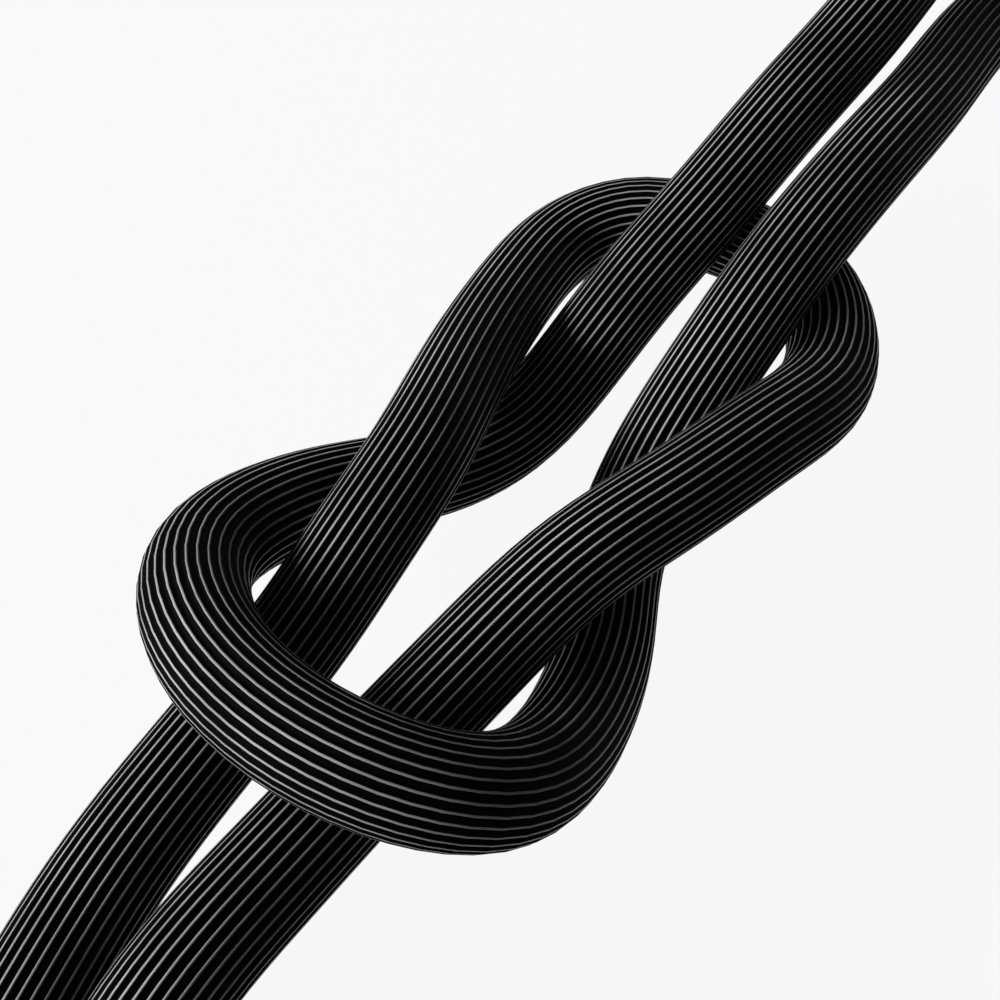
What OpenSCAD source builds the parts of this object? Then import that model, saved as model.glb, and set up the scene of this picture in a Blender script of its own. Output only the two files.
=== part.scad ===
// Charging cable with a two-ended plug lead, folded into a tied hank, its two ends tied in a reef knot.
// X runs along the knot, Z is up, and the cable lies on the plane z = 0.

/* [Cable] */
// Outer diameter of the cable
cable_d = 4; // [3.4:0.1:4.1]
// Sides of the plain tube that stands for the ribbed jacket
cable_sides = 10; // [8:2:12]
// Room between strands that lie on or beside each other
strand_gap = 0.2; // [0.1:0.05:0.4]

/* [Hank] */
// Radius of the hank's folds, to the middle of the cable
fold_r = 12; // [11:0.5:12.5]
// Distance of each fold's centre from the tie
fold_x = 26; // [25:0.5:28]
// Length of the straight bundle that the tie holds
waist_len = 14; // [12:1:18]
// Width of the tie's band
tie_w = 8; // [5:0.5:10]
// Thickness of the tie's band
tie_t = 0.8; // [0.5:0.1:1.2]
// Length of the band's lapped end
lap_len = 8; // [5:0.5:9]

/* [Plug shell] */
// Width of the drawn shell, outside
shell_w = 8.25; // [8.2:0.01:8.3]
// Height of the drawn shell, outside
shell_h = 2.4; // [2.36:0.01:2.44]
// Wall of the drawn shell
shell_t = 0.3; // [0.2:0.02:0.32]
// Length of the shell in front of the housing
shell_reach = 6.65; // [6.5:0.05:6.8]
// Length of the shell held inside the housing
shell_hold = 5.5; // [4.5:0.1:6]
// Depth of the insulator's front face behind the shell's rim
front_recess = 0.35; // [0.2:0.05:0.6]

/* [Plug contacts] */
// Width of the mouth for the socket's tongue
mouth_w = 6.9; // [6.8:0.02:7]
// Height of the mouth
mouth_h = 0.9; // [0.84:0.02:0.96]
// Depth of the mouth
mouth_depth = 6; // [5.5:0.1:6.2]
// Contacts in each row
contact_count = 12; // [6:2:12]
// Distance between contacts
contact_pitch = 0.5; // [0.5:0.01:0.54]
// Width of a contact
contact_w = 0.25; // [0.2:0.01:0.3]
// Thickness of a contact
contact_t = 0.15; // [0.1:0.01:0.18]
// Thickness of the latch plate
latch_t = 0.2; // [0.14:0.02:0.24]
// Thickness of a ground spring
spring_t = 0.1; // [0.08:0.01:0.12]

/* [Plug board] */
// Thickness of the circuit card
card_t = 0.8; // [0.7:0.05:0.85]
// Width of the circuit card
card_w = 7.4; // [6.6:0.1:7.5]
// Height of the chip on the card
chip_h = 0.7; // [0.5:0.05:0.75]
// Diameter of an insulated wire
wire_d = 0.75; // [0.6:0.05:0.8]
// Sheet of the shield can
can_t = 0.25; // [0.2:0.01:0.3]

/* [Plug housing] */
// Length of the moulded housing
housing_len = 19; // [18:0.25:21]
// Width of the moulded housing
housing_w = 11.4; // [10.8:0.1:12.2]
// Height of the moulded housing
housing_h = 6.4; // [6:0.1:6.5]
// Edge radius along the housing
housing_edge = 2.6; // [1.5:0.1:2.9]
// Thickness of the housing's front wall
front_wall = 1.6; // [1:0.1:2]
// Length of the strain relief behind the housing
relief_len = 11; // [9:0.25:12]
// Diameter of the strain relief at the housing
relief_root_d = 5.8; // [5.5:0.1:6]
// Diameter of the strain relief at its thin end
relief_tip_d = 5; // [4.8:0.1:5.2]
// Rings cut into the strain relief
relief_rings = 5; // [3:1:6]
// Depth of a ring
relief_ring_depth = 0.3; // [0.2:0.05:0.35]
// Free space between the two plug tips
tip_gap = 3; // [2:0.5:5]

/* [Hidden] */
$fn = 48;

// Room between pieces of a plug that fit together, on each side
fit = 0.05;
// How far a cutting shape runs past the face that it cuts
past = 1;

// Plug places: x along the plug from the back of its housing, towards its tip
cable_in = 5;
insulator_tail = 0.3;
card_room = 1.6;
can_room = 0.6;
barrel_len = 2.6;
relief_neck_wall = 0.4;
relief_flange_rim = 0.2;
relief_neck_len = 1.2;
relief_flange_len = 1;
tip_x = housing_len + shell_reach;
plug_back = tip_gap / 2 + tip_x;
plug_y = -29.5;
plug_z = housing_h / 2;
shell_x = housing_len - shell_hold;
insulator_x = shell_x - insulator_tail;
insulator_front = tip_x - front_recess;
mouth_x = insulator_front - mouth_depth;
insulator_w = shell_w - 2 * shell_t - 2 * fit;
insulator_h = shell_h - 2 * shell_t - 2 * fit;
card_front = insulator_x - fit;
card_back = cable_in + card_room;
can_back = cable_in + can_room;
can_front = housing_len - front_wall - fit;
can_in_w = shell_w + 2 * fit;
can_in_h = shell_h + 2 * fit;
can_w = can_in_w + 2 * can_t;
can_h = can_in_h + 2 * can_t;
cable_bore_d = cable_d + 2 * fit;
barrel_d = cable_bore_d + 2 * can_t;
relief_neck_d = cable_bore_d + 2 * relief_neck_wall;
relief_flange_d = relief_neck_d + 2 * relief_flange_rim;

// Contact places: the card's face carries the contact's tail, and the crown stands into the mouth
contact_tail = 1.4;
contact_recess = 0.5;
crown_back = 1.8;
crown_drop = 0.1;
crown_len = 0.5;
crown_slope = 0.6;
contact_z = card_t / 2;
contact_back = card_front - contact_tail;
contact_front = insulator_front - contact_recess;
crown_x = contact_front - crown_back;

// Latch places: two arms beside the mouth, joined by a bar behind it
latch_arm_w = 0.2;
latch_bar_in = 0.5;
latch_bar_len = 1;
latch_recess = 0.9;
latch_hook = 0.15;
latch_hook_len = 0.5;
latch_arm_y = mouth_w / 2 + fit;
latch_bar_x = insulator_x + latch_bar_in;
latch_front = insulator_front - latch_recess;

// Ground spring places: a plate on each broad face of the insulator
spring_w = 5.4;
spring_len = 2.4;
spring_back = 3.6;
spring_slot_in = 0.5;
spring_slot_w = 0.2;
spring_x = insulator_front - spring_back;
slot_x = spring_x + spring_slot_in;

// Hank places
layer_h = cable_d + strand_gap;
column_y = layer_h / 2;
waist_half = layer_h + strand_gap / 2;
hank_y = -8.5;
hank_r = fold_r + cable_d / 2;
lead_room = 14;
lead_side = 0.8;
lead_seat = 8;

// Route of the first end: from its plug round to the knot, through the knot's far loop and out to the hank
first_points = [
    [-48.5, -26, 2.5], [-52, -20, 2], [-53.5, -11, 2], [-52.5, -0.5, 2], [-49, 9.5, 2],
    [-42.5, 18.5, 2], [-35.5, 23, 3], [-28, 25, 4], [-22.5, 26.5, 4.5], [-15.5, 27, 5], [-12, 27, 6],
    [-8.5, 27, 8], [-5, 27.5, 8.5], [-1.5, 29, 7.5], [3, 31, 6], [8, 32.5, 5], [12.5, 33.5, 4],
    [16, 31.5, 4.5], [17.5, 27, 4.5], [17, 22.5, 5], [14.5, 19.5, 5], [10, 17.5, 6], [5.5, 18, 7.5],
    [0.5, 19, 7.5], [-4.5, 20.5, 7.5], [-10, 21, 6.5], [-15, 21.5, 5.5], [-20, 21.5, 5.5], [-25, 21.5, 5.5],
    [-31, 20, 4.5], [-38, 16.5, 2.5], [-44, 9.5, 2], [-46.5, 0, 2], [-44.5, -8.5, 2], [-39.5, -14.5, 2],
    [-33, -17, 2]
];
// Route of the second end: from the hank to the knot, through the knot's near loop and round to its plug
second_points = [
    [33, -17, 11], [39.5, -14.5, 11], [44.5, -8.5, 11], [46.5, 0.5, 9], [47, 9.5, 7], [45, 18, 7.5],
    [40, 23, 8], [33.5, 23.5, 8.5], [27, 22.5, 9], [19.5, 22, 10], [13, 22, 9], [8.5, 22, 7], [3.5, 22, 4.5],
    [-0.5, 21, 2.5], [-3.5, 19, 2], [-7, 17.5, 3.5], [-10.5, 16.5, 5.5], [-13.5, 16.5, 7.5], [-16, 19, 9.5],
    [-17, 23.5, 10], [-16, 28, 9.5], [-13.5, 31, 8.5], [-10, 31.5, 7], [-6, 31.5, 4.5], [-2.5, 30, 3],
    [1, 29, 2], [5, 28.5, 2], [9.5, 27.5, 6.5], [14.5, 27, 8], [20, 26.5, 10.5], [25.5, 26, 12],
    [32, 26.5, 13], [39, 27, 13], [46, 25, 11.5], [51.5, 18, 9], [53, 8.5, 6], [53, -1.5, 4],
    [53.5, -11.5, 2.5], [52, -20, 2], [48.5, -26, 2.5]
];

// Straight stretch from the cable's cut end inside a plug to just past its strain relief
lead_step = (cable_in + relief_len) / 3;
function plug_lead(side) =
    [for (i = [-1 : 4]) [side * (plug_back - cable_in + i * lead_step), plug_y, plug_z]];
function backwards(list) = [for (i = [len(list) - 1 : -1 : 0]) list[i]];
first_route = concat(plug_lead(-1), first_points);
second_route = concat(second_points, backwards(plug_lead(1)));

// A smooth curve is drawn towards the route's points: its place and its direction at point i
function unit(v) = v / norm(v);
function route_place(route, i) = (route[i - 1] + 4 * route[i] + route[i + 1]) / 6;
function route_heading(route, i) = unit(route[i + 1] - route[i - 1]);
function flat_angle(v) = atan2(v.y, v.x);
function square_to(v, heading) = unit(v - (v * heading) * heading);

// One side direction for each ring, turned as little as possible from ring to ring
function ring_sides(headings, i = 0, side = [0, 0, 1]) =
    i == len(headings) ? [] :
    let (next = square_to(side, headings[i]))
    concat([next], ring_sides(headings, i + 1, next));

// Where the two stretches meet the hank
first_end = route_place(first_route, len(first_route) - 2);
first_end_angle = flat_angle(route_heading(first_route, len(first_route) - 2));
second_start = route_place(second_route, 1);
second_start_angle = flat_angle(route_heading(second_route, 1));
top_z = second_start.z - cable_d / 2;

// Plain tube along a route
module route_tube(route) {
    last = len(route) - 2;
    headings = [for (i = [1 : last]) route_heading(route, i)];
    sides = ring_sides(headings);
    points = [
        for (i = [0 : last - 1], k = [0 : cable_sides - 1])
            let (turn = 360 * k / cable_sides, across = cross(headings[i], sides[i]))
            route_place(route, i + 1) + cable_d / 2 * (cos(turn) * sides[i] + sin(turn) * across)
    ];
    walls = [
        for (i = [0 : last - 2], k = [0 : cable_sides - 1])
            let (a = i * cable_sides + k, b = i * cable_sides + (k + 1) % cable_sides)
            each [[a, b, b + cable_sides], [a, b + cable_sides, a + cable_sides]]
    ];
    back_cap = [for (k = [cable_sides - 1 : -1 : 0]) k];
    front_cap = [for (k = [0 : cable_sides - 1]) (last - 1) * cable_sides + k];
    polyhedron(points, concat(walls, [back_cap, front_cap]));
}

module cable_first_stretch() color("#1c1c1e") route_tube(first_route);

module cable_second_stretch() color("#1c1c1e") route_tube(second_route);

// Straight strip of a given width between two points
module strip(from, to, width) {
    span = to - from;
    translate(from)
        rotate(flat_angle(span))
            translate([0, -width / 2])
                square([norm(span), width]);
}

// Outline of the folded runs: two round folds and the narrow bundle between them
module hank_outline() {
    for (side = [-1, 1])
        translate([side * fold_x, hank_y])
            circle(hank_r);
    polygon([
        [-fold_x, hank_y + hank_r], [-waist_len / 2, hank_y + waist_half],
        [waist_len / 2, hank_y + waist_half], [fold_x, hank_y + hank_r],
        [fold_x, hank_y - hank_r], [waist_len / 2, hank_y - waist_half],
        [-waist_len / 2, hank_y - waist_half], [-fold_x, hank_y - hank_r]
    ]);
}

// Path of the last run, which lies on top of the others
module top_run_outline() {
    seat = [second_start.x, second_start.y];
    heading = [cos(second_start_angle), sin(second_start_angle)];
    stops = [
        [-fold_x, hank_y - fold_r], [-waist_len / 2, hank_y - column_y],
        [waist_len / 2, hank_y - column_y], seat - lead_seat * heading, seat
    ];
    for (i = [0 : len(stops) - 2])
        strip(stops[i], stops[i + 1], cable_d);
    for (i = [0 : len(stops) - 2])
        translate(stops[i])
            circle(d = cable_d);
}

// The folded runs in two layers, a slot under them for the strand that comes in, and the last run on top
module hank() color("#1c1c1e") {
    difference() {
        union() {
            linear_extrude(2 * layer_h)
                hank_outline();
            translate([first_end.x, first_end.y])
                rotate(first_end_angle)
                    translate([0, -cable_d / 2])
                        cube([lead_seat, cable_d, layer_h]);
        }
        translate([first_end.x, first_end.y, -past])
            rotate(first_end_angle)
                translate([-lead_room, -cable_d / 2 - lead_side])
                    cube([lead_room, cable_d + 2 * lead_side, layer_h + past]);
        translate([-tie_w / 2 - strand_gap, hank_y - hank_r, -past])
            cube([tie_w + 2 * strand_gap, 2 * hank_r, tie_t + fit + past]);
    }
    translate([0, 0, 2 * layer_h])
        linear_extrude(top_z + cable_d - 2 * layer_h)
            top_run_outline();
}

// Band round the bundle: its inside follows two layers of runs with the last run on one side,
// and its free end laps over one wall
module hank_tie() color("#2a2a2c") {
    side = waist_half + fit;
    low = 2 * layer_h + fit;
    high = top_z + cable_d + fit;
    ridge = cable_d / 2 - column_y + fit;
    corners = [[-side, tie_t], [side, tie_t], [side, low], [ridge, high], [-side, high]];
    translate([-tie_w / 2, hank_y])
        rotate([90, 0, 90])
            linear_extrude(tie_w)
                difference() {
                    for (i = [0 : len(corners) - 1]) {
                        strip(corners[i], corners[(i + 1) % len(corners)], 2 * tie_t);
                        translate(corners[i])
                            circle(tie_t);
                    }
                    polygon(corners);
                }
    translate([0, hank_y - side - tie_t / 2, high - tie_t - lap_len])
        rotate([90, 0, 0])
            linear_extrude(1.5 * tie_t)
                rotate(90)
                    rounded_plate(0, lap_len, tie_w, tie_w * 0.3, tie_t);
}

// Rectangle from x0 to x1 with its own corner radius at each end
module rounded_plate(x0, x1, width, r0, r1) {
    translate([x0 + r0, -width / 2])
        square([x1 - r1 - x0 - r0, width]);
    translate([x0, r0 - width / 2])
        square([x1 - x0 - r1, width - 2 * r0]);
    translate([x0 + r0, r1 - width / 2])
        square([x1 - x0 - r0, width - 2 * r1]);
    for (side = [-1, 1]) {
        translate([x0 + r0, side * (width / 2 - r0)])
            circle(r0);
        translate([x1 - r1, side * (width / 2 - r1)])
            circle(r1);
    }
}

// Flat oval with round ends
module oval(width, height) {
    square([width - height, height], center = true);
    for (side = [-1, 1])
        translate([side * (width - height) / 2, 0])
            circle(d = height);
}

// Section across the plug, drawn out along it
module along(x0, x1) {
    translate([x0, 0, 0])
        rotate([90, 0, 90])
            linear_extrude(x1 - x0)
                children();
}

// Block centred on the plug's axis
module core_block(x0, x1, width, height) {
    translate([x0, -width / 2, -height / 2])
        cube([x1 - x0, width, height]);
}

// Round bar on the plug's axis
module core_round(x0, x1, d) {
    translate([x0, 0, 0])
        rotate([0, 90, 0])
            cylinder(d = d, h = x1 - x0);
}

// Drawn steel tube with an oval mouth
module plug_shell() color("silver") difference() {
    along(shell_x, tip_x) oval(shell_w, shell_h);
    along(shell_x - past, tip_x + past) oval(shell_w - 2 * shell_t, shell_h - 2 * shell_t);
}

// Places of the contacts across the plug
function contact_places() =
    [for (i = [0 : contact_count - 1]) (i - (contact_count - 1) / 2) * contact_pitch];

// Shape of the latch seen from above, grown by the room that its slot needs
module latch_outline(room) {
    reach = latch_arm_y + latch_arm_w + room;
    translate([latch_bar_x - room, -reach])
        square([latch_bar_len + 2 * room, 2 * reach]);
    for (side = [-1, 1]) {
        translate([latch_bar_x, side * (latch_arm_y + latch_arm_w / 2) - latch_arm_w / 2 - room])
            square([latch_front - latch_bar_x + room, latch_arm_w + 2 * room]);
        translate([latch_front - latch_hook_len - room, side * latch_arm_y - latch_hook - room])
            square([latch_hook_len + 2 * room, 2 * latch_hook + 2 * room]);
    }
}

// Moulded body that fills the shell and leaves the mouth, with a groove for every contact
module plug_insulator() color("#222224") difference() {
    along(insulator_x, insulator_front) oval(insulator_w, insulator_h);
    along(mouth_x, insulator_front + past) oval(mouth_w, mouth_h);
    for (side = [-1, 1], y = contact_places())
        translate([insulator_x - past, y, side * (contact_z + contact_t / 2 - crown_drop / 2)])
            core_block(0, contact_front + fit - insulator_x + past, contact_w + 2 * fit,
                contact_t + crown_drop + 2 * fit);
    translate([0, 0, -latch_t / 2 - fit])
        linear_extrude(latch_t + 2 * fit)
            latch_outline(fit);
    for (side = [-1, 1])
        translate([0, 0, side * insulator_h / 2])
            core_block(spring_x - fit, spring_x + spring_len + fit, spring_w + 2 * fit, 2 * spring_t);
}

// Side view of one contact: tail on the card, straight beam, crown that stands into the mouth
module contact_profile() {
    polygon([
        [contact_back, contact_z], [crown_x - crown_slope, contact_z],
        [crown_x, contact_z - crown_drop], [crown_x + crown_len, contact_z - crown_drop],
        [contact_front, contact_z], [contact_front, contact_z + contact_t],
        [contact_back, contact_z + contact_t]
    ]);
}

module upper_contacts() color("gold") {
    for (y = contact_places())
        translate([0, y + contact_w / 2, 0])
            rotate([90, 0, 0])
                linear_extrude(contact_w)
                    contact_profile();
}

module lower_contacts() color("gold") rotate([180, 0, 0]) upper_contacts();

// Stamped plate with two sprung arms that hook into the socket's sides
module plug_latch() color("lightgrey") {
    translate([0, 0, -latch_t / 2])
        linear_extrude(latch_t)
            latch_outline(0);
}

// Thin plates that ground the shell of the socket, one on each broad face, with two pressed tongues
module ground_springs() color("lightgrey") {
    for (side = [-1, 1])
        translate([0, 0, side * (insulator_h - spring_t) / 2])
            difference() {
                core_block(spring_x, spring_x + spring_len, spring_w, spring_t);
                for (tongue = [-1, 1])
                    translate([0, tongue * spring_w / 4, 0])
                        core_block(slot_x, slot_x + spring_slot_w, spring_w / 4, spring_t + past);
            }
}

module circuit_card() color("darkgreen")
    core_block(card_back, card_front, card_w, card_t);

// Marker chip and two resistors on the card's lower face
module card_chips() color("#202022") {
    chip_len = 2.2;
    chip_room = 0.4;
    chip_x = contact_back - chip_room - chip_len;
    resistor_y = card_w / 3;
    translate([0, 0, -(card_t + chip_h) / 2])
        core_block(chip_x, chip_x + chip_len, chip_len, chip_h);
    for (side = [-1, 1])
        translate([0, side * resistor_y, -(card_t + chip_h / 2) / 2])
            core_block(chip_x, chip_x + chip_len / 2, chip_len / 4, chip_h / 2);
}

// Power, ground and two signal wires, side by side on the card
module plug_wires() color("firebrick") {
    wire_len = 2.8;
    for (i = [0 : 3])
        translate([0, (i - 1.5) * (wire_d + 2 * fit), (card_t + wire_d) / 2])
            core_round(cable_in + fit, cable_in + wire_len, wire_d);
}

// Folded sheet box over the card and the shell's back, with a barrel crimped on the cable
module shield_can() color("gainsboro") difference() {
    union() {
        core_block(can_back - can_t, can_front, can_w, can_h);
        core_round(can_back - can_t - barrel_len, can_back, barrel_d);
    }
    core_block(can_back, can_front + past, can_in_w, can_in_h);
    core_round(0, can_back + past, cable_bore_d);
}

// Moulded grip: rounded along its edges, softer at the cable's end, hollow for the can and the shell
module plug_housing() color("#1c1c1e") difference() {
    intersection() {
        along(0, housing_len)
            rounded_plate(-housing_w / 2, housing_w / 2, housing_h, housing_edge, housing_edge);
        linear_extrude(housing_h + past, center = true)
            rounded_plate(0, housing_len, housing_w, housing_w / 4, housing_w / 8);
        rotate([90, 0, 0])
            linear_extrude(housing_w + past, center = true)
                rounded_plate(0, housing_len, housing_h, housing_h / 6, housing_h / 8);
    }
    core_block(can_back - can_t - fit, can_front + fit, can_w + 2 * fit, can_h + 2 * fit);
    along(can_front, housing_len + past) oval(shell_w + 2 * fit, shell_h + 2 * fit);
    core_round(-past, can_back + fit, relief_neck_d + 2 * fit);
    core_round(relief_neck_len, can_back + fit, relief_flange_d + 2 * fit);
}

// Radius of the strain relief at a distance behind the housing
function relief_r(x) =
    (relief_root_d + (relief_tip_d - relief_root_d) * x / relief_len) / 2;

// Tapered sleeve with ring cuts that let it bend, held in the housing by a flange
module strain_relief() color("#1c1c1e") {
    ring_pitch = relief_len / (relief_rings + 1);
    ring_w = ring_pitch * 0.4;
    rings = [
        for (i = [1 : relief_rings])
            let (from = i * ring_pitch - ring_w / 2, to = from + ring_w)
            each [
                [relief_r(from), from], [relief_r(from) - relief_ring_depth, from],
                [relief_r(to) - relief_ring_depth, to], [relief_r(to), to]
            ]
    ];
    neck = relief_neck_len + fit;
    rotate([0, -90, 0])
        rotate_extrude()
            polygon(concat(
                [
                    [cable_bore_d / 2, -neck - relief_flange_len],
                    [relief_flange_d / 2, -neck - relief_flange_len], [relief_flange_d / 2, -neck],
                    [relief_neck_d / 2, -neck], [relief_neck_d / 2, 0], [relief_r(0), 0]
                ],
                rings,
                [[relief_r(relief_len), relief_len], [cable_bore_d / 2, relief_len]]
            ));
}

// Places of the two plugs: they lie in line, tip to tip
module first_plug() translate([-plug_back, plug_y, plug_z]) children();

module second_plug() translate([plug_back, plug_y, plug_z]) rotate([0, 0, 180]) children();

cable_first_stretch();
cable_second_stretch();
hank();
hank_tie();
first_plug() plug_shell();  // first_shell
first_plug() plug_insulator();  // first_insulator
first_plug() upper_contacts();  // first_upper_contacts
first_plug() lower_contacts();  // first_lower_contacts
first_plug() plug_latch();  // first_latch
first_plug() ground_springs();  // first_ground_springs
first_plug() circuit_card();  // first_circuit_card
first_plug() card_chips();  // first_chips
first_plug() plug_wires();  // first_wires
first_plug() shield_can();  // first_shield_can
first_plug() plug_housing();  // first_housing
first_plug() strain_relief();  // first_strain_relief
second_plug() plug_shell();  // second_shell
second_plug() plug_insulator();  // second_insulator
second_plug() upper_contacts();  // second_upper_contacts
second_plug() lower_contacts();  // second_lower_contacts
second_plug() plug_latch();  // second_latch
second_plug() ground_springs();  // second_ground_springs
second_plug() circuit_card();  // second_circuit_card
second_plug() card_chips();  // second_chips
second_plug() plug_wires();  // second_wires
second_plug() shield_can();  // second_shield_can
second_plug() plug_housing();  // second_housing
second_plug() strain_relief();  // second_strain_relief
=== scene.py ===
"""Dress a charging cable tied in a reef knot: jacket, hank and band, two plugs, plain studio."""

import math

import bpy
from bpy.props import FloatProperty, FloatVectorProperty, IntProperty, PointerProperty
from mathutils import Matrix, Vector


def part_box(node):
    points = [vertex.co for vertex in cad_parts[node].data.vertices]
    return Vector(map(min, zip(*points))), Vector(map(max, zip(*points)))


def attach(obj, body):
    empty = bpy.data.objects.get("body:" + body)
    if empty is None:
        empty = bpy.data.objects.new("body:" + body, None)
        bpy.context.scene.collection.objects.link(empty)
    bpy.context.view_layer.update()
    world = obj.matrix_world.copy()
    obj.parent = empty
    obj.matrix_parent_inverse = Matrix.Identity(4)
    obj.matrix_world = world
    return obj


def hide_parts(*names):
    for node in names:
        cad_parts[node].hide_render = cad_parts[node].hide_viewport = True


bl_info = {
    "name": "Knotted Charging Cable",
    "version": (1, 0, 0),
    "blender": (4, 5, 0),
    "location": "3D View > Sidebar > Cable",
    "description": "Ribbed charging cable tied in a reef knot, with a folded hank and two plugs",
    "category": "Object",
}

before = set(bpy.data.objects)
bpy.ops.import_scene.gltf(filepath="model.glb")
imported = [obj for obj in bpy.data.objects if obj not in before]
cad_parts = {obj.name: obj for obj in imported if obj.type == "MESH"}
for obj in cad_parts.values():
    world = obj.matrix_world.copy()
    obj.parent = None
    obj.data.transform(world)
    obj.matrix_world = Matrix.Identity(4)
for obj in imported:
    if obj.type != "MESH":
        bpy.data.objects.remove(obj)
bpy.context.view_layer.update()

# Route of the first end, from behind its plug through the knot to the hank.
FIRST_END = (
    (-0.0485, -0.026, 0.0025), (-0.052, -0.02, 0.002), (-0.0535, -0.011, 0.002),
    (-0.0525, -0.0005, 0.002), (-0.049, 0.0095, 0.002), (-0.0425, 0.0185, 0.002),
    (-0.0355, 0.023, 0.003), (-0.028, 0.025, 0.004), (-0.0225, 0.0265, 0.0045),
    (-0.0155, 0.027, 0.005), (-0.012, 0.027, 0.006), (-0.0085, 0.027, 0.008),
    (-0.005, 0.0275, 0.0085), (-0.0015, 0.029, 0.0075), (0.003, 0.031, 0.006),
    (0.008, 0.0325, 0.005), (0.0125, 0.0335, 0.004), (0.016, 0.0315, 0.0045),
    (0.0175, 0.027, 0.0045), (0.017, 0.0225, 0.005), (0.0145, 0.0195, 0.005),
    (0.01, 0.0175, 0.006), (0.0055, 0.018, 0.0075), (0.0005, 0.019, 0.0075),
    (-0.0045, 0.0205, 0.0075), (-0.01, 0.021, 0.0065), (-0.015, 0.0215, 0.0055),
    (-0.02, 0.0215, 0.0055), (-0.025, 0.0215, 0.0055), (-0.031, 0.02, 0.0045),
    (-0.038, 0.0165, 0.0025), (-0.044, 0.0095, 0.002), (-0.0465, 0.0, 0.002),
    (-0.0445, -0.0085, 0.002), (-0.0395, -0.0145, 0.002), (-0.033, -0.017, 0.002),
)
# Route of the second end, from the hank through the knot to its plug.
SECOND_END = (
    (0.033, -0.017, 0.011), (0.0395, -0.0145, 0.011), (0.0445, -0.0085, 0.011),
    (0.0465, 0.0005, 0.009), (0.047, 0.0095, 0.007), (0.045, 0.018, 0.0075),
    (0.04, 0.023, 0.008), (0.0335, 0.0235, 0.0085), (0.027, 0.0225, 0.009),
    (0.0195, 0.022, 0.01), (0.013, 0.022, 0.009), (0.0085, 0.022, 0.007),
    (0.0035, 0.022, 0.0045), (-0.0005, 0.021, 0.0025), (-0.0035, 0.019, 0.002),
    (-0.007, 0.0175, 0.0035), (-0.0105, 0.0165, 0.0055), (-0.0135, 0.0165, 0.0075),
    (-0.016, 0.019, 0.0095), (-0.017, 0.0235, 0.01), (-0.016, 0.028, 0.0095),
    (-0.0135, 0.031, 0.0085), (-0.01, 0.0315, 0.007), (-0.006, 0.0315, 0.0045),
    (-0.0025, 0.03, 0.003), (0.001, 0.029, 0.002), (0.005, 0.0285, 0.002),
    (0.0095, 0.0275, 0.0065), (0.0145, 0.027, 0.008), (0.02, 0.0265, 0.0105),
    (0.0255, 0.026, 0.012), (0.032, 0.0265, 0.013), (0.039, 0.027, 0.013),
    (0.046, 0.025, 0.0115), (0.0515, 0.018, 0.009), (0.053, 0.0085, 0.006),
    (0.053, -0.0015, 0.004), (0.0535, -0.0115, 0.0025), (0.052, -0.02, 0.002),
    (0.0485, -0.026, 0.0025),
)
# Strands that lead from the first end into the hank, and from the hank to the second end.
HANK_IN = ((-0.026, -0.017, 0.002), (-0.0195, -0.0155, 0.002))
HANK_OUT = ((0.0195, -0.0155, 0.011), (0.026, -0.017, 0.011))
# Whole turns of the hank. Half a turn more leads on to the second end.
HANK_TURNS = 2
# Places of a run's route points along the hank, and how far its flat middle reaches.
RUN_PLACES = (-0.013, -0.006, 0.0, 0.006, 0.013)
FLAT_REACH = 0.01
# Past its flat middle a run leans out, and keeps only a share of its lift.
RUN_SPLAY = 0.003
LIFT_KEPT = 0.3
# Shares of a fold: where its climb starts, and how long the climb lasts.
CLIMB_START = 0.1
CLIMB_SPAN = 0.45
# Steps of the straight lead through a plug, and of each stretch of the smooth curve.
LEAD_STEPS = 3
CURVE_STEPS = 48
# The knot lies behind this y, and within this x on either side.
KNOT_FRONT = 0.013
KNOT_REACH = 0.036

# Points of the section on each rib: two on its crest and two in the groove.
RIB_POINTS = 4
# A face is a crest if the crest values of its corners, each 1 or 0, average more than this.
CREST_LIMIT = 0.75
JACKET_INPUTS = (
    ("Path", "NodeSocketGeometry"),
    ("Diameter", "NodeSocketFloat"),
    ("Ribs", "NodeSocketInt"),
    ("Rib Depth", "NodeSocketFloat"),
    ("Crest Share", "NodeSocketFloat"),
    ("Groove Share", "NodeSocketFloat"),
    ("Crest Finish", "NodeSocketMaterial"),
    ("Groove Finish", "NodeSocketMaterial"),
)

# Noise of the materials: most of its values lie between these two.
NOISE_LOW = 0.3
NOISE_HIGH = 0.7
GRAIN_DETAIL = 4.0
# Clouds of tone are this many times as large as a surface's grain.
CLOUD_SIZE = 14.0
# Jacket: scale and depth of its grain, scale and swing of its tone patches, which make random tone
# in the grooves and a patchy painted highlight on the crests.
JACKET_GRAIN = 5200.0
JACKET_GRAIN_DEPTH = 0.000002
TONE_AND_HIGHLIGHT_PATCH_SCALE = 420.0
TONE_AND_HIGHLIGHT_PATCH_SWING = 0.55
# Jacket: slow drift along the cable, and how far it takes the roughness.
DRIFT_SCALE = 90.0
DRIFT_DETAIL = 2.0
GLOSS_DRIFT = 0.03
EVEN = (1.0, 1.0, 1.0)
# Drawn metal: its grain is stretched along x.
DRAWN = (0.06, 1.0, 1.0)
WHITE = (1.0, 1.0, 1.0, 1.0)
# Wires: grain, and the insulation colours across a plug.
WIRE_GRAIN = 4000.0
WIRE_COLOURS = (
    (0.45, 0.02, 0.015, 1.0),
    (0.75, 0.74, 0.7, 1.0),
    (0.02, 0.2, 0.04, 1.0),
    (0.02, 0.02, 0.02, 1.0),
)

SENSOR_WIDTH = 36.0
CLIP_START = 0.001
# Sides and steps of the studio floor with its curved edge.
FLOOR_SIDES = 96
SWEEP_STEPS = 16

ENDS = ("first", "second")


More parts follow.
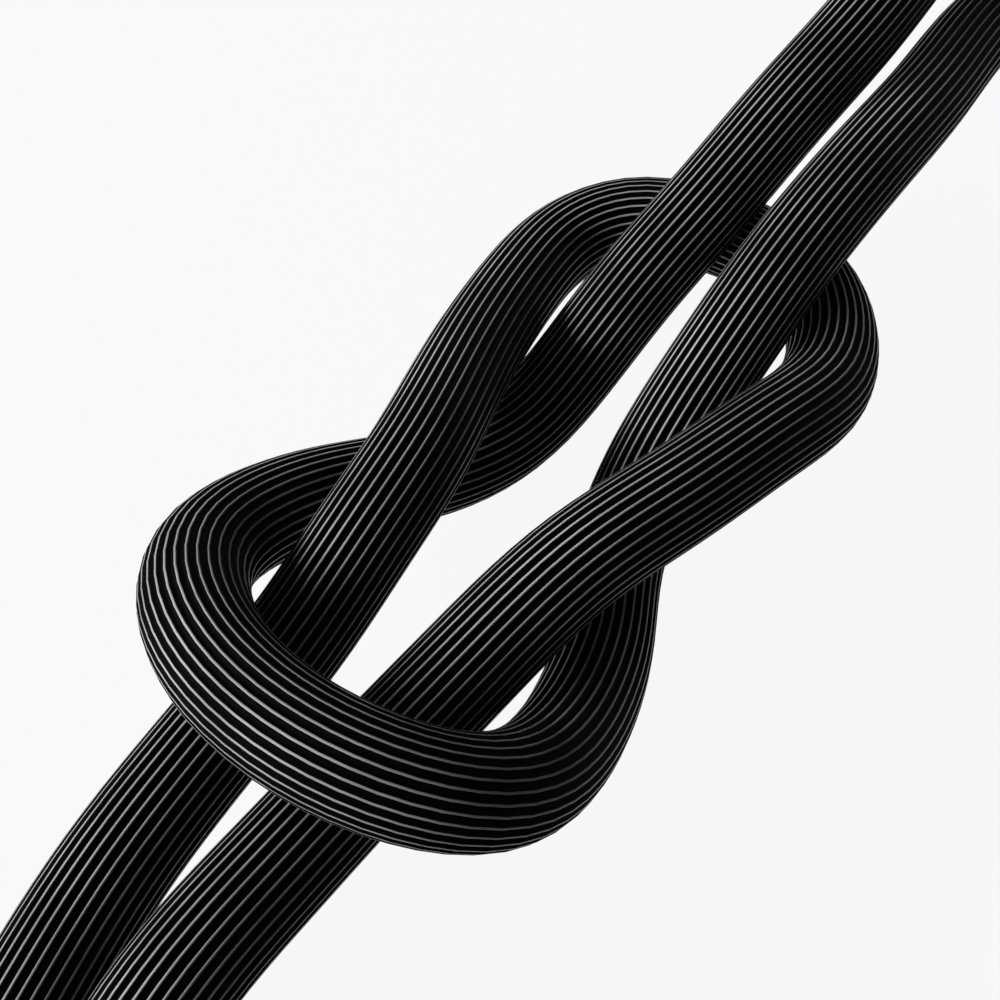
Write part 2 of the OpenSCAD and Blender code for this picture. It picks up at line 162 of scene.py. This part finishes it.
class CableSize(bpy.types.PropertyGroup):
    """Sizes of the ribbed jacket."""

    diameter: FloatProperty(
        name="Diameter", description="Outer diameter of the cable",
        default=0.004, unit="LENGTH", precision=5)
    ribs: IntProperty(
        name="Ribs", description="Ribs around the jacket", default=32, min=12, max=60)
    rib_depth: FloatProperty(
        name="Rib Depth", description="Depth of the grooves",
        default=0.00014, unit="LENGTH", precision=5)
    crest_share: FloatProperty(
        name="Crest Share", description="Share of a rib's pitch that its crest takes",
        default=0.22, subtype="FACTOR")
    groove_share: FloatProperty(
        name="Groove Share", description="Share of a rib's pitch that the groove's floor takes",
        default=0.54, subtype="FACTOR")
    knot_step: FloatProperty(
        name="Knot Step", description="Ring spacing in the knot",
        default=0.0008, unit="LENGTH", precision=5)
    lay_step: FloatProperty(
        name="Lay Step", description="Ring spacing elsewhere",
        default=0.0017, unit="LENGTH", precision=5)
    plug_depth: FloatProperty(
        name="Plug Depth", description="Length of cable inside a housing",
        default=0.005, unit="LENGTH", precision=5)


class HankSize(bpy.types.PropertyGroup):
    """Sizes of the folded hank."""

    center_y: FloatProperty(
        name="Place", description="Place of the hank across the lay",
        default=-0.0085, unit="LENGTH", precision=5)
    fold_radius: FloatProperty(
        name="Fold Radius", description="Radius of a fold",
        default=0.012, unit="LENGTH", precision=5)
    fold_place: FloatProperty(
        name="Fold Place", description="Distance of a fold from the band",
        default=0.026, unit="LENGTH", precision=5)
    fold_points: IntProperty(
        name="Fold Points", description="Route points round a fold", default=6, min=5, max=10)
    fold_spread: FloatProperty(
        name="Fold Spread", description="Half the angle of a fold",
        default=math.radians(110.0), subtype="ANGLE")
    column: FloatProperty(
        name="Column", description="Distance of a run from the middle",
        default=0.0021, unit="LENGTH", precision=5)
    layer: FloatProperty(
        name="Layer", description="Height of one layer of runs",
        default=0.0042, unit="LENGTH", precision=5)
    base: FloatProperty(
        name="Base", description="Height of the lowest run",
        default=0.002, unit="LENGTH", precision=5)
    lift: FloatProperty(
        name="Lift", description="Rise of the runs over the band",
        default=0.0009, unit="LENGTH", precision=5)


class FinishColours(bpy.types.PropertyGroup):
    """Colours of the cable's materials."""

    # The crests' pale grey is a painted highlight on the jacket's black ribs.
    crest: FloatVectorProperty(
        name="Crests", description="Rubbed crests of the jacket's ribs",
        default=(0.38, 0.38, 0.383), subtype="COLOR", size=3)
    groove: FloatVectorProperty(
        name="Grooves", description="Grooves between the ribs",
        default=(0.0015, 0.0015, 0.0016), subtype="COLOR", size=3)
    moulding: FloatVectorProperty(
        name="Moulding", description="Housings and strain reliefs",
        default=(0.014, 0.014, 0.015), subtype="COLOR", size=3)
    band: FloatVectorProperty(
        name="Band", description="Band round the hank",
        default=(0.022, 0.022, 0.024), subtype="COLOR", size=3)
    steel: FloatVectorProperty(
        name="Steel", description="Drawn shell",
        default=(0.62, 0.62, 0.63), subtype="COLOR", size=3)
    gold: FloatVectorProperty(
        name="Gold", description="Contacts",
        default=(0.83, 0.6, 0.24), subtype="COLOR", size=3)
    card: FloatVectorProperty(
        name="Card", description="Circuit card",
        default=(0.012, 0.11, 0.045), subtype="COLOR", size=3)
    floor: FloatVectorProperty(
        name="Floor", description="Studio floor",
        default=(0.45, 0.45, 0.45), subtype="COLOR", size=3)


class StudioSetup(bpy.types.PropertyGroup):
    """Camera and light of the studio."""

    lens: FloatProperty(
        name="Lens", description="Focal length", default=50.0, subtype="DISTANCE_CAMERA")
    camera_place: FloatVectorProperty(
        name="Camera Place", description="Where the camera stands",
        default=(-0.029, 0.0043, 0.0502), subtype="TRANSLATION", size=3, precision=4)
    camera_tilt: FloatProperty(
        name="Camera Tilt", description="Tilt up from straight down",
        default=math.radians(37.0), subtype="ANGLE")
    camera_turn: FloatProperty(
        name="Camera Turn", description="Turn about the vertical",
        default=math.radians(-51.6), subtype="ANGLE")
    floor_reach: FloatProperty(
        name="Floor Reach", description="Radius of the flat floor", default=2.4, unit="LENGTH")
    sweep_radius: FloatProperty(
        name="Sweep Radius", description="Radius of the curve up to the backdrop",
        default=1.2, unit="LENGTH")
    floor_white: FloatProperty(
        name="Floor White", description="Share of plain white that the floor shows",
        default=0.92, subtype="FACTOR")
    aim: FloatVectorProperty(
        name="Aim", description="Place in the knot that the lamps look at",
        default=(0.0, 0.025, 0.006), subtype="TRANSLATION", size=3, precision=4)
    key_place: FloatVectorProperty(
        name="Key Place", description="Where the key lamp hangs",
        default=(-0.28, 0.36, 0.22), subtype="TRANSLATION", size=3)
    key_size: FloatVectorProperty(
        name="Key Size", description="Length and width of the key lamp",
        default=(0.6, 0.12), unit="LENGTH", size=2)
    key_power: FloatProperty(
        name="Key Power", description="Power of the key lamp", default=3.4, unit="POWER")
    fill_place: FloatVectorProperty(
        name="Fill Place", description="Where the fill lamp hangs",
        default=(-0.45, -0.1, 0.3), subtype="TRANSLATION", size=3)
    fill_size: FloatVectorProperty(
        name="Fill Size", description="Length and width of the fill lamp",
        default=(0.3, 0.3), unit="LENGTH", size=2)
    fill_power: FloatProperty(
        name="Fill Power", description="Power of the fill lamp", default=0.06, unit="POWER")
    world_level: FloatProperty(
        name="World Level", description="Level of the soft light all round", default=0.03)


def spline_place(route, i, t):
    """Place at share t of stretch i, on the smooth curve drawn towards the route's points."""
    s = 1.0 - t
    weights = (s ** 3, 3 * t ** 3 - 6 * t ** 2 + 4, 3 * s ** 3 - 6 * s ** 2 + 4, t ** 3)
    place = Vector((0.0, 0.0, 0.0))
    for weight, point in zip(weights, route[i:i + 4]):
        place += Vector(point) * (weight / 6.0)
    return place


def plug_lead(end, depth):
    """Straight route points from the cable's cut end in a plug to just past its strain relief."""
    side = -1.0 if end == "first" else 1.0
    house_low, house_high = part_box(end + "_housing")
    relief_low, relief_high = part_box(end + "_strain_relief")
    back = house_low[0] if end == "first" else house_high[0]
    tail = relief_low[0] if end == "first" else relief_high[0]
    cut = back - side * depth
    step = (tail - cut) / LEAD_STEPS
    y = (house_low[1] + house_high[1]) / 2.0
    z = (house_low[2] + house_high[2]) / 2.0
    return [(cut + i * step, y, z) for i in range(-1, LEAD_STEPS + 2)]


def hank_run(size, column, way, level):
    """Route points of one run through the band, from one fold to the other."""
    points = []
    for x in RUN_PLACES:
        flat = abs(x) < FLAT_REACH
        y = size.center_y + column * (size.column + (0.0 if flat else RUN_SPLAY))
        z = level + size.lift * (1.0 if flat else LIFT_KEPT)
        points.append((way * x, y, z))
    return points


def hank_fold(size, side, level, rise):
    """Route points round one fold, which climbs by rise before it comes back to the band."""
    gap = 2.0 * size.fold_spread / (size.fold_points - 1)
    reach = size.fold_radius * 3.0 / (2.0 + math.cos(gap))
    points = []
    for i in range(size.fold_points):
        angle = -size.fold_spread + i * gap
        share = i / (size.fold_points - 1)
        climb = min(1.0, max(0.0, (share - CLIMB_START) / CLIMB_SPAN))
        points.append((
            side * (size.fold_place + reach * math.cos(angle)),
            size.center_y + side * reach * math.sin(angle),
            level + rise * climb * climb * (3.0 - 2.0 * climb),
        ))
    return points


def hank_route(size):
    """Route points of the hank: two and a half turns, each laid on the one before."""
    route = []
    level = size.base
    for _turn in range(HANK_TURNS):
        route += hank_run(size, -1, 1, level)
        route += hank_fold(size, 1, level, 0.0)
        route += hank_run(size, 1, -1, level)
        route += hank_fold(size, -1, level, size.layer)
        level += size.layer
    route += hank_run(size, -1, 1, level)
    return route


def cable_route(cable, hank):
    """Route points of the whole cable, from its cut end in one plug to that in the other."""
    route = plug_lead("first", cable.plug_depth)
    route += FIRST_END
    route += HANK_IN
    route += hank_route(hank)
    route += HANK_OUT
    route += SECOND_END
    route += reversed(plug_lead("second", cable.plug_depth))
    return route


def in_knot(place):
    """True for the stretch of cable that the knot holds."""
    return place.y > KNOT_FRONT and abs(place.x) < KNOT_REACH


def cable_path(cable, hank):
    """Evenly spaced places along the whole cable, closer together in the knot."""
    route = cable_route(cable, hank)
    stretches = len(route) - 3
    fine = []
    for i in range(stretches):
        fine += [spline_place(route, i, k / CURVE_STEPS) for k in range(CURVE_STEPS)]
    fine.append(spline_place(route, stretches - 1, 1.0))
    path = [fine[0]]
    walked = 0.0
    for before, place in zip(fine, fine[1:]):
        walked += (place - before).length
        if walked >= (cable.knot_step if in_knot(place) else cable.lay_step):
            path.append(place)
            walked = 0.0
    if (fine[-1] - path[-1]).length > cable.knot_step:
        path.append(fine[-1])
    return path


class NodeBuilder:
    """Adds nodes to a tree, sets their values and links them."""

    def __init__(self, tree):
        self.tree = tree

    def add(self, kind, values=None, **settings):
        """Add one node; values are numbers, colours or sockets by input name or number."""
        node = self.tree.nodes.new(kind)
        for name, setting in settings.items():
            setattr(node, name, setting)
        for key, value in (values or {}).items():
            if isinstance(value, bpy.types.NodeSocket):
                self.join(value, node.inputs[key])
            else:
                node.inputs[key].default_value = value
        return node

    def join(self, output, socket):
        """Link an output to an input socket."""
        self.tree.links.new(output, socket)

    def math(self, operation, first, second=0.0, third=0.0):
        """Add one Math node and return its result."""
        values = {0: first, 1: second, 2: third}
        return self.add("ShaderNodeMath", values, operation=operation).outputs[0]

    def mark(self, geometry, name, value):
        """Store a number on each point of a geometry and return the geometry."""
        values = {"Geometry": geometry, "Name": name, "Value": value}
        return self.add(
            "GeometryNodeStoreNamedAttribute", values, data_type="FLOAT", domain="POINT").outputs[0]


def rib_section(build, given):
    """Closed section of the ribbed jacket, with its points marked as crest or groove."""
    around = build.math("MULTIPLY", given["Ribs"], RIB_POINTS)
    radius = build.math("DIVIDE", given["Diameter"], 2.0)
    circle = build.add(
        "GeometryNodeCurvePrimitiveCircle", {"Resolution": around, "Radius": radius})
    index = build.add("GeometryNodeInputIndex").outputs[0]
    on_rib = build.math("FLOORED_MODULO", index, RIB_POINTS)
    crest = build.math("LESS_THAN", on_rib, RIB_POINTS / 2.0)
    side = build.math("MULTIPLY_ADD", build.math("FLOORED_MODULO", index, 2.0), 2.0, -1.0)
    wider = build.math("SUBTRACT", given["Crest Share"], given["Groove Share"])
    share = build.math("MULTIPLY_ADD", crest, wider, given["Groove Share"])
    half_pitch = build.math("DIVIDE", math.pi, given["Ribs"])
    from_even = build.math("SUBTRACT", share, 1.0 / RIB_POINTS)
    turn = build.math("MULTIPLY", build.math("MULTIPLY", side, half_pitch), from_even)
    place = build.add("GeometryNodeInputPosition").outputs[0]
    turned = build.add(
        "ShaderNodeVectorRotate", {"Vector": place, "Angle": turn}, rotation_type="Z_AXIS")
    inset = build.math("DIVIDE", given["Rib Depth"], radius)
    reach = build.math("MULTIPLY_ADD", build.math("SUBTRACT", crest, 1.0), inset, 1.0)
    rib_place = build.add(
        "ShaderNodeVectorMath", {0: turned.outputs[0], "Scale": reach}, operation="SCALE")
    ribbed = build.add("GeometryNodeSetPosition", {
        "Geometry": build.mark(circle.outputs["Curve"], "crest", crest),
        "Position": rib_place.outputs[0]})
    return ribbed.outputs[0]


def jacket_tree():
    """Geometry nodes that sweep a ribbed section along the cable's path."""
    tree = bpy.data.node_groups.new("ribbed_jacket", "GeometryNodeTree")
    for name, kind in JACKET_INPUTS:
        tree.interface.new_socket(name, in_out="INPUT", socket_type=kind)
    tree.interface.new_socket("Jacket", in_out="OUTPUT", socket_type="NodeSocketGeometry")
    build = NodeBuilder(tree)
    given = build.add("NodeGroupInput").outputs
    length = build.add("GeometryNodeSplineParameter").outputs["Length"]
    swept = build.add("GeometryNodeCurveToMesh", {
        "Curve": build.mark(given["Path"], "along", length),
        "Profile Curve": rib_section(build, given),
        "Fill Caps": True})
    smooth = build.add("GeometryNodeSetShadeSmooth", {"Geometry": swept.outputs[0]})
    real = build.add("GeometryNodeRealizeInstances", {"Geometry": smooth.outputs[0]})
    dark = build.add("GeometryNodeSetMaterial", {
        "Geometry": real.outputs[0], "Material": given["Groove Finish"]})
    # Faces on the crests get the crest material, whose pale colour is a painted highlight.
    crest = build.add("GeometryNodeInputNamedAttribute", {"Name": "crest"}, data_type="FLOAT")
    on_crest = build.math("GREATER_THAN", crest.outputs["Attribute"], CREST_LIMIT)
    crests_painted_highlight = build.add("GeometryNodeSetMaterial", {
        "Geometry": dark.outputs[0], "Selection": on_crest, "Material": given["Crest Finish"]})
    build.add("NodeGroupOutput", {"Jacket": crests_painted_highlight.outputs[0]})
    return tree


def path_curve(name, path):
    """Curve object with one straight-sided spline through the path."""
    curve = bpy.data.curves.new(name, "CURVE")
    curve.dimensions = "3D"
    curve.twist_mode = "MINIMUM"
    spline = curve.splines.new("POLY")
    spline.points.add(len(path) - 1)
    for point, place in zip(spline.points, path):
        point.co = (*place, 1.0)
    obj = bpy.data.objects.new(name, curve)
    bpy.context.scene.collection.objects.link(obj)
    return obj


def swept_mesh(name, path, inputs):
    """Plain mesh object that the jacket's nodes make along a path."""
    guide = path_curve(name + "_path", path)
    modifier = guide.modifiers.new("jacket", "NODES")
    tree = jacket_tree()
    modifier.node_group = tree
    for item in tree.interface.items_tree:
        if item.in_out == "INPUT" and item.name in inputs:
            modifier[item.identifier] = inputs[item.name]
    bpy.context.view_layer.update()
    depsgraph = bpy.context.evaluated_depsgraph_get()
    shaped = guide.evaluated_get(depsgraph)
    mesh = bpy.data.meshes.new_from_object(shaped, depsgraph=depsgraph)
    mesh.name = name
    bpy.data.objects.remove(guide)
    bpy.data.node_groups.remove(tree)
    obj = bpy.data.objects.new(name, mesh)
    bpy.context.scene.collection.objects.link(obj)
    return obj


def blank_material(name):
    """Material with a plain Principled shader, and a builder for its nodes."""
    material = bpy.data.materials.new(name)
    material.use_nodes = True
    shader = material.node_tree.nodes["Principled BSDF"]
    return material, shader, NodeBuilder(material.node_tree)


def speckle(build, scale, stretch=EVEN):
    """Fine noise fixed to the piece."""
    place = build.add("ShaderNodeTexCoord").outputs["Object"]
    spread = build.add("ShaderNodeMapping", {"Vector": place, "Scale": stretch})
    noise = build.add("ShaderNodeTexNoise", {
        "Vector": spread.outputs[0], "Scale": scale, "Detail": GRAIN_DETAIL})
    return noise.outputs[0]


def drift_along(build):
    """Slow change along the cable."""
    along = build.add("ShaderNodeAttribute", attribute_name="along", attribute_type="GEOMETRY")
    noise = build.add("ShaderNodeTexNoise", noise_dimensions="1D", values={
        "W": along.outputs["Fac"], "Scale": DRIFT_SCALE, "Detail": DRIFT_DETAIL})
    return noise.outputs[0]


def between(build, noise, low, high):
    """Noise spread between two levels."""
    return build.add("ShaderNodeMapRange", {
        "Value": noise, "From Min": NOISE_LOW, "From Max": NOISE_HIGH,
        "To Min": low, "To Max": high}).outputs[0]


def tinted(build, noise, colour, swing):
    """Colour that darkens and lightens with a noise; sockets 6, 7 and 2 are the mix's colours."""
    dark = [c * (1.0 - swing) for c in colour] + [1.0]
    pale = [c * (1.0 + swing) for c in colour] + [1.0]
    values = {"Factor": between(build, noise, 0.0, 1.0), 6: dark, 7: pale}
    return build.add("ShaderNodeMix", values, data_type="RGBA").outputs[2]


def grained(build, shader, noise, depth):
    """Give a shader fine bumps that follow a noise."""
    bump = build.add("ShaderNodeBump", {"Height": noise, "Distance": depth, "Strength": 1.0})
    build.join(bump.outputs[0], shader.inputs["Normal"])


def grain_material(
        name, colour, rough, grain, depth, metal=0.0, level=0.5, swing=0.15, stretch=EVEN):
    """Moulded or metal surface: roughness and bump follow its grain, tone follows larger clouds."""
    material, shader, build = blank_material(name)
    noise = speckle(build, grain, stretch)
    cloud = speckle(build, grain / CLOUD_SIZE)
    build.join(tinted(build, cloud, colour, swing), shader.inputs["Base Color"])
    build.join(between(build, noise, *rough), shader.inputs["Roughness"])
    grained(build, shader, noise, depth)
    shader.inputs["Metallic"].default_value = metal
    shader.inputs["Specular IOR Level"].default_value = level
    return material


def jacket_finish(name, colour, rough, level):
    """Jacket plastic with a fine grain, tone patches and a slow drift along the cable; on the pale
    crests the patches and drift make a patchy painted highlight.
    """
    material, shader, build = blank_material(name)
    grain = speckle(build, JACKET_GRAIN)
    drift = drift_along(build)
    tone_and_highlight_patches = build.math("MULTIPLY", build.math("ADD", drift, speckle(build, TONE_AND_HIGHLIGHT_PATCH_SCALE)), 0.5)
    build.join(tinted(build, tone_and_highlight_patches, colour, TONE_AND_HIGHLIGHT_PATCH_SWING), shader.inputs["Base Color"])
    gloss_drift = between(build, drift, -GLOSS_DRIFT, GLOSS_DRIFT)
    gloss = build.math("ADD", between(build, grain, *rough), gloss_drift)
    build.join(gloss, shader.inputs["Roughness"])
    grained(build, shader, grain, JACKET_GRAIN_DEPTH)
    shader.inputs["Specular IOR Level"].default_value = level
    return material


def wire_material():
    """Insulation of the wires, with one colour for each wire across the plug."""
    material, shader, build = blank_material("wire_insulation")
    place = build.add("ShaderNodeTexCoord").outputs["Object"]
    low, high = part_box("first_wires")
    across = build.add("ShaderNodeSeparateXYZ", {"Vector": place}).outputs["Y"]
    share = build.add("ShaderNodeMapRange", {
        "Value": across, "From Min": low[1], "From Max": high[1]}).outputs[0]
    ramp = build.add("ShaderNodeValToRGB", {"Fac": share})
    ramp.color_ramp.interpolation = "CONSTANT"
    stops = ramp.color_ramp.elements
    stops.remove(stops[1])
    stops[0].color = WIRE_COLOURS[0]
    for i, colour in enumerate(WIRE_COLOURS[1:], start=1):
        stops.new(i / len(WIRE_COLOURS)).color = colour
    build.join(ramp.outputs[0], shader.inputs["Base Color"])
    build.join(between(build, speckle(build, WIRE_GRAIN), 0.3, 0.42), shader.inputs["Roughness"])
    return material


def dress(names, material):
    """Give CAD pieces their finished material."""
    for name in names:
        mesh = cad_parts[name].data
        mesh.materials.clear()
        mesh.materials.append(material)


def each_end(*pieces):
    """Names of a plug's pieces on both ends of the cable."""
    return [f"{end}_{piece}" for end in ENDS for piece in pieces]


class CABLE_OT_camera(bpy.types.Operator):
    """Place the camera close above the knot"""

    bl_idname = "cable.camera"
    bl_label = "Camera"

    def execute(self, context):
        studio = context.scene.studio_setup
        camera = bpy.data.cameras.new("knot_camera")
        camera.sensor_width = SENSOR_WIDTH
        camera.lens = studio.lens
        camera.clip_start = CLIP_START
        obj = bpy.data.objects.new("knot_camera", camera)
        obj.location = studio.camera_place
        obj.rotation_euler = (studio.camera_tilt, 0.0, studio.camera_turn)
        context.scene.collection.objects.link(obj)
        context.scene.camera = obj
        return {"FINISHED"}


class CABLE_OT_jacket(bpy.types.Operator):
    """Sweep the ribbed jacket along the cable, from plug to plug"""

    bl_idname = "cable.jacket"
    bl_label = "Ribbed Jacket"

    def execute(self, context):
        size = context.scene.cable_size
        colours = context.scene.finish_colours
        path = cable_path(size, context.scene.hank_size)
        cable = swept_mesh("cable", path, {
            "Diameter": size.diameter,
            "Ribs": size.ribs,
            "Rib Depth": size.rib_depth,
            "Crest Share": size.crest_share,
            "Groove Share": size.groove_share,
            # The crest material's pale colour is a painted highlight; the grooves keep the jacket's
            # black.
            "Crest Finish": jacket_finish(
                "rib_crests_painted_highlight", colours.crest, rough=(0.24, 0.34), level=0.1),
            "Groove Finish": jacket_finish(
                "rib_grooves", colours.groove, rough=(0.55, 0.7), level=0.02)})
        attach(cable, "root")
        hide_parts("cable_first_stretch", "cable_second_stretch", "hank")
        return {"FINISHED"}


class CABLE_OT_band(bpy.types.Operator):
    """Give the hank's band its matt silicone"""

    bl_idname = "cable.band"
    bl_label = "Band"

    def execute(self, context):
        colours = context.scene.finish_colours
        dress(["hank_tie"], grain_material(
            "band_silicone", colours.band, rough=(0.55, 0.7), grain=2600.0, depth=0.00001,
            level=0.35))
        return {"FINISHED"}


class CABLE_OT_mouldings(bpy.types.Operator):
    """Give the plugs' mouldings their fine matt grain"""

    bl_idname = "cable.mouldings"
    bl_label = "Plug Mouldings"

    def execute(self, context):
        colours = context.scene.finish_colours
        dress(each_end("housing"), grain_material(
            "housing_grain", colours.moulding, rough=(0.42, 0.58), grain=3200.0, depth=0.000012))
        dress(each_end("strain_relief"), grain_material(
            "relief_rubber", colours.moulding, rough=(0.5, 0.64), grain=2400.0, depth=0.00001,
            level=0.4))
        dress(each_end("insulator"), grain_material(
            "insulator_plastic", colours.moulding, rough=(0.45, 0.55), grain=5200.0,
            depth=0.000004))
        return {"FINISHED"}


class CABLE_OT_metal(bpy.types.Operator):
    """Give the plugs' metal pieces their drawn, stamped and plated finish"""

    bl_idname = "cable.metal"
    bl_label = "Plug Metal"

    def execute(self, context):
        colours = context.scene.finish_colours
        dress(each_end("shell"), grain_material(
            "drawn_steel", colours.steel, rough=(0.16, 0.3), grain=4200.0, depth=0.000002,
            metal=1.0, swing=0.06, stretch=DRAWN))
        dress(each_end("latch", "ground_springs"), grain_material(
            "spring_steel", colours.steel, rough=(0.24, 0.36), grain=5200.0, depth=0.000002,
            metal=1.0, swing=0.1))
        dress(each_end("shield_can"), grain_material(
            "tinned_sheet", colours.steel, rough=(0.3, 0.5), grain=3000.0, depth=0.000004,
            metal=1.0, swing=0.18))
        dress(each_end("upper_contacts", "lower_contacts"), grain_material(
            "gold_plate", colours.gold, rough=(0.18, 0.28), grain=6000.0, depth=0.000002,
            metal=1.0, swing=0.08))
        return {"FINISHED"}


class CABLE_OT_board(bpy.types.Operator):
    """Give the board inside each plug its solder mask, chips and wires"""

    bl_idname = "cable.board"
    bl_label = "Plug Board"

    def execute(self, context):
        colours = context.scene.finish_colours
        dress(each_end("circuit_card"), grain_material(
            "solder_mask", colours.card, rough=(0.25, 0.4), grain=2600.0, depth=0.000006))
        dress(each_end("chips"), grain_material(
            "chip_moulding", colours.moulding, rough=(0.5, 0.65), grain=6000.0, depth=0.000006))
        dress(each_end("wires"), wire_material())
        return {"FINISHED"}


def white_share(build):
    """1 for rays that show the background: from the camera, off gloss and through clear things."""
    rays = build.add("ShaderNodeLightPath").outputs
    shown = build.math("MAXIMUM", rays["Is Camera Ray"], rays["Is Glossy Ray"])
    return build.math("MAXIMUM", shown, rays["Is Transmission Ray"])


def floor_material(colour, white):
    """Matt floor that shows mostly white and keeps a soft shadow."""
    material = bpy.data.materials.new("studio_floor")
    material.use_nodes = True
    material.node_tree.nodes.clear()
    build = NodeBuilder(material.node_tree)
    matt = build.add("ShaderNodeBsdfDiffuse", {"Color": (*colour, 1.0)})
    plain = build.add("ShaderNodeEmission", {"Color": WHITE, "Strength": 1.0})
    share = build.math("MULTIPLY", white_share(build), white)
    mix = build.add("ShaderNodeMixShader", {0: share, 1: matt.outputs[0], 2: plain.outputs[0]})
    build.add("ShaderNodeOutputMaterial", {"Surface": mix.outputs[0]})
    return material


def studio_sweep(reach, radius):
    """Round floor whose edge curves up into a backdrop."""
    verts = [(0.0, 0.0, 0.0)]
    for step in range(SWEEP_STEPS + 1):
        lean = math.pi / 2.0 * step / SWEEP_STEPS
        far = reach + radius * math.sin(lean)
        height = radius * (1.0 - math.cos(lean))
        for side in range(FLOOR_SIDES):
            turn = 2.0 * math.pi * side / FLOOR_SIDES
            verts.append((far * math.cos(turn), far * math.sin(turn), height))
    faces = [(0, 1 + side, 1 + (side + 1) % FLOOR_SIDES) for side in range(FLOOR_SIDES)]
    for step in range(SWEEP_STEPS):
        base = 1 + step * FLOOR_SIDES
        above = base + FLOOR_SIDES
        for side in range(FLOOR_SIDES):
            beside = (side + 1) % FLOOR_SIDES
            faces.append((base + side, above + side, above + beside, base + beside))
    mesh = bpy.data.meshes.new("floor")
    mesh.from_pydata(verts, [], faces)
    mesh.shade_smooth()
    floor = bpy.data.objects.new("floor", mesh)
    bpy.context.scene.collection.objects.link(floor)
    return floor


def area_lamp(name, place, aim, size, power):
    """Rectangular soft lamp that looks at a place and is hidden from the camera."""
    lamp = bpy.data.lights.new(name, "AREA")
    lamp.shape = "RECTANGLE"
    lamp.size, lamp.size_y = size
    lamp.energy = power
    obj = bpy.data.objects.new(name, lamp)
    obj.location = place
    obj.rotation_euler = (Vector(aim) - Vector(place)).to_track_quat("-Z", "Y").to_euler()
    obj.visible_camera = False
    bpy.context.scene.collection.objects.link(obj)


def soft_world(level):
    """World that shows white and lights the cable softly from all round."""
    world = bpy.data.worlds.new("studio_world")
    world.use_nodes = True
    world.node_tree.nodes.clear()
    build = NodeBuilder(world.node_tree)
    strength = build.math("MAXIMUM", white_share(build), level)
    soft = build.add("ShaderNodeBackground", {"Color": WHITE, "Strength": strength})
    build.add("ShaderNodeOutputWorld", {"Surface": soft.outputs[0]})
    return world


class CABLE_OT_stage(bpy.types.Operator):
    """Set the floor, the lamps and the soft light all round"""

    bl_idname = "cable.stage"
    bl_label = "Stage"

    def execute(self, context):
        scene = context.scene
        studio = scene.studio_setup
        floor = studio_sweep(studio.floor_reach, studio.sweep_radius)
        floor.data.materials.append(floor_material(scene.finish_colours.floor, studio.floor_white))
        area_lamp("strip", studio.key_place, studio.aim, studio.key_size, studio.key_power)
        area_lamp("fill", studio.fill_place, studio.aim, studio.fill_size, studio.fill_power)
        scene.world = soft_world(studio.world_level)
        scene.view_settings.view_transform = "Standard"
        return {"FINISHED"}


class CABLE_PT_panel(bpy.types.Panel):
    """List the steps that dress the cable"""

    bl_idname = "CABLE_PT_panel"
    bl_label = "Knotted Charging Cable"
    bl_space_type = "VIEW_3D"
    bl_region_type = "UI"
    bl_category = "Cable"

    def draw(self, context):
        for operator in OPERATORS:
            self.layout.operator(operator.bl_idname)


GROUPS = (
    ("cable_size", CableSize),
    ("hank_size", HankSize),
    ("finish_colours", FinishColours),
    ("studio_setup", StudioSetup),
)
OPERATORS = (
    CABLE_OT_camera,
    CABLE_OT_jacket,
    CABLE_OT_band,
    CABLE_OT_mouldings,
    CABLE_OT_metal,
    CABLE_OT_board,
    CABLE_OT_stage,
)


def register():
    """Register the settings, the steps and the panel."""
    for name, group in GROUPS:
        bpy.utils.register_class(group)
        setattr(bpy.types.Scene, name, PointerProperty(type=group))
    for operator in OPERATORS:
        bpy.utils.register_class(operator)
    bpy.utils.register_class(CABLE_PT_panel)


def unregister():
    """Take everything out again."""
    bpy.utils.unregister_class(CABLE_PT_panel)
    for operator in reversed(OPERATORS):
        bpy.utils.unregister_class(operator)
    for name, group in reversed(GROUPS):
        delattr(bpy.types.Scene, name)
        bpy.utils.unregister_class(group)


def main():
    """Dress the cable, step by step."""
    register()
    bpy.ops.cable.camera()
    bpy.ops.cable.jacket()
    bpy.ops.cable.band()
    bpy.ops.cable.mouldings()
    bpy.ops.cable.metal()
    bpy.ops.cable.board()
    bpy.ops.cable.stage()


if __name__ == "__main__":
    main()
